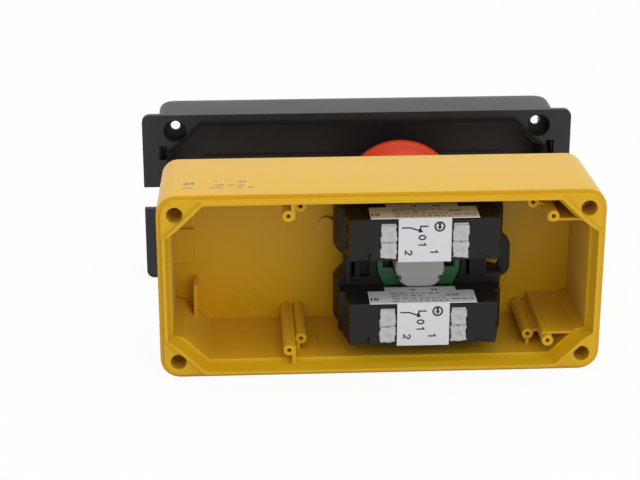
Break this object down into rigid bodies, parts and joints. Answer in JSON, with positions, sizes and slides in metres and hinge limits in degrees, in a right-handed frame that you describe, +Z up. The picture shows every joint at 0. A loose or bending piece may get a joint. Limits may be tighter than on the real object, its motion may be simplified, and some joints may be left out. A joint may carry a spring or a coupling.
{
  "type": "mushroom push button station",
  "caption": "Enclosed mushroom push button with contact blocks in a holder; deep cover and separate base tray, shown opened for wiring.",
  "frame": {"origin": "under the middle of the whole object, on the surface that its long sides stand on", "axes": "+Y from the cover's open rim to its front face and on to the base, +X along the cover, +Z up"},
  "size_m": [0.1514, 0.1072, 0.061],
  "materials": {
    "yellow_plastic": "satin moulded",
    "base_plastic": "fine grained moulded",
    "black_plastic": "satin moulded",
    "red_plastic": "satin moulded",
    "green_plastic": "satin moulded",
    "white_plastic": "satin moulded",
    "milky_plastic": "milky moulded",
    "label": "printed film",
    "rubber": "matt",
    "steel": "zinc plated",
    "brass": "bright"
  },
  "bodies": {
    "station": {"cover_shell": "yellow_plastic", "cover_screw_1": "steel", "cover_screw_2": "steel", "cover_screw_3": "steel", "cover_screw_4": "steel", "bezel_collar": "black_plastic", "bezel_gasket": "rubber", "panel_nut": "black_plastic", "locking_ring": "green_plastic", "latch_ring": "white_plastic", "return_spring": "steel", "contact_holder": "black_plastic", "upper_block_housing": "black_plastic", "upper_block_label": "label", "upper_block_terminal_left_upper": "milky_plastic", "upper_block_terminal_left_lower": "milky_plastic", "upper_block_fixed_contact_left": "brass", "upper_block_terminal_right_upper": "milky_plastic", "upper_block_terminal_right_lower": "milky_plastic", "upper_block_fixed_contact_right": "brass", "upper_block_contact_spring": "steel", "lower_block_housing": "black_plastic", "lower_block_label": "label", "lower_block_terminal_left_upper": "milky_plastic", "lower_block_terminal_left_lower": "milky_plastic", "lower_block_fixed_contact_left": "brass", "lower_block_terminal_right_upper": "milky_plastic", "lower_block_terminal_right_lower": "milky_plastic", "lower_block_fixed_contact_right": "brass", "lower_block_contact_spring": "steel"},
    "plunger": {"plunger_stem": "white_plastic", "push_plate": "white_plastic"},
    "head": {"mushroom_head": "red_plastic"},
    "lever": {"release_lever": "black_plastic"},
    "upper_contact": {"upper_block_plunger": "white_plastic", "upper_block_bridge": "brass"},
    "lower_contact": {"lower_block_plunger": "white_plastic", "lower_block_bridge": "brass"},
    "base": {"base_tray": "base_plastic", "base_seal": "rubber"}
  },
  "joints": [
    {"name": "press", "type": "slide", "parent": "station", "child": "plunger", "axis": [0, -1, 0], "range_m": [0, 0.004], "stiffness_N_per_m": 1500, "springref_m": -0.002, "deforming": ["return_spring"]},
    {"name": "release_turn", "type": "hinge", "parent": "plunger", "child": "head", "pos_m": [0.0151, 0.03375, 0.0305], "axis": [0, -1, 0], "range_deg": [0, 45], "stiffness_Nm_per_rad": 0.03},
    {"name": "upper_contact_travel", "type": "slide", "parent": "station", "child": "upper_contact", "axis": [0, -1, 0], "range_m": [0, 0.004], "deforming": ["upper_block_contact_spring"]},
    {"name": "lower_contact_travel", "type": "slide", "parent": "station", "child": "lower_contact", "axis": [0, -1, 0], "range_m": [0, 0.004], "deforming": ["lower_block_contact_spring"]},
    {"name": "lever_release", "type": "hinge", "parent": "station", "child": "lever", "pos_m": [0.0151, -0.02725, 0.0305], "axis": [0, -1, 0], "range_deg": [0, 20]},
    {"name": "base_slide", "type": "slide", "parent": "station", "child": "base", "axis": [0, 1, 0], "range_m": [0, 0.06]}
  ],
  "couplings": [
    {"joint": "upper_contact_travel", "follows": "press", "ratio": 1},
    {"joint": "lower_contact_travel", "follows": "press", "ratio": 1}
  ]
}
